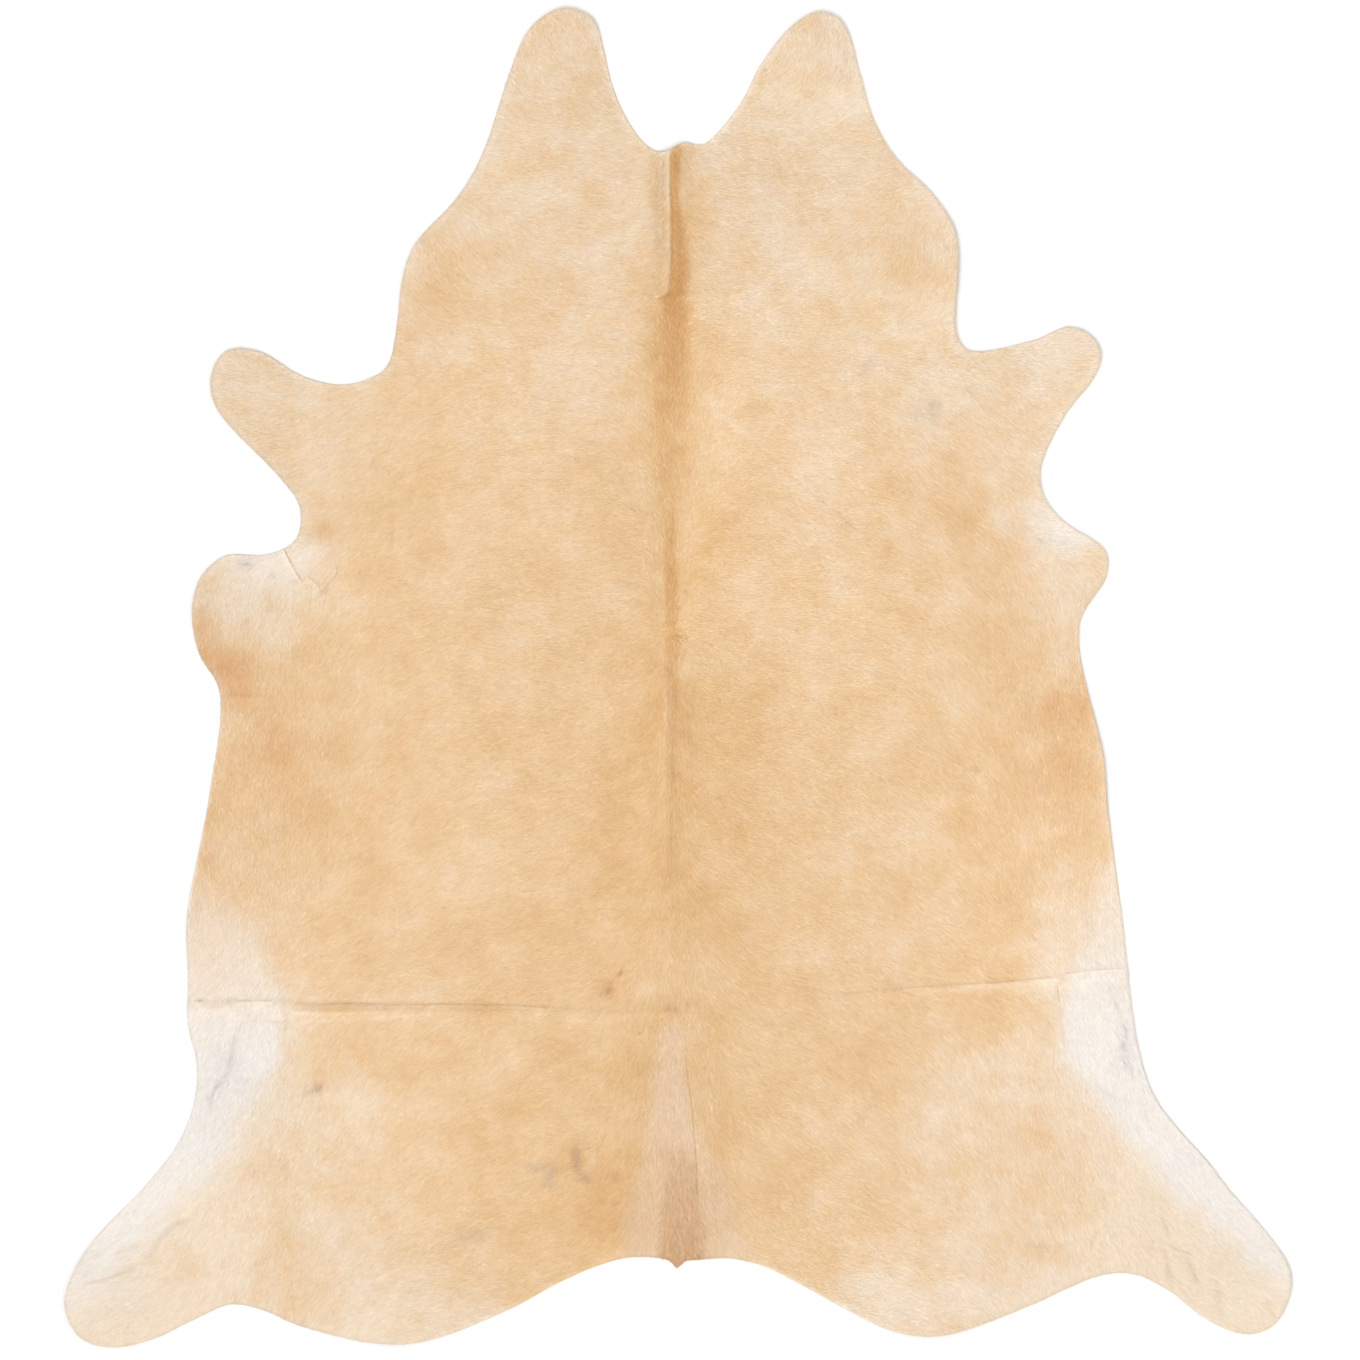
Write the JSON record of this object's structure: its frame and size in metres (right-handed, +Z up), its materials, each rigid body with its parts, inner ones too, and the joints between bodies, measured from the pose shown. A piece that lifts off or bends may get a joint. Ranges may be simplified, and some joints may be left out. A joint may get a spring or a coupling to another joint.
{
  "type": "cowhide rug",
  "caption": "Whole cowhide laid flat as a floor rug, hair side up, with the natural outline of head flaps, legs and tail, and low soft folds along the spine and across the back.",
  "frame": {"origin": "on the floor, under the middle of the rug's box", "axes": "+Y towards the head end, +X to the right as seen from above with the head end up, +Z up out of the hair side"},
  "size_m": [2.084, 2.276, 0.0163],
  "materials": {
    "coat": "short lying hair in warm beige and tan with a darker spine and cream flanks, and pale suede leather underneath"
  },
  "bodies": {
    "root": {"hide": "coat"}
  },
  "joints": []
}
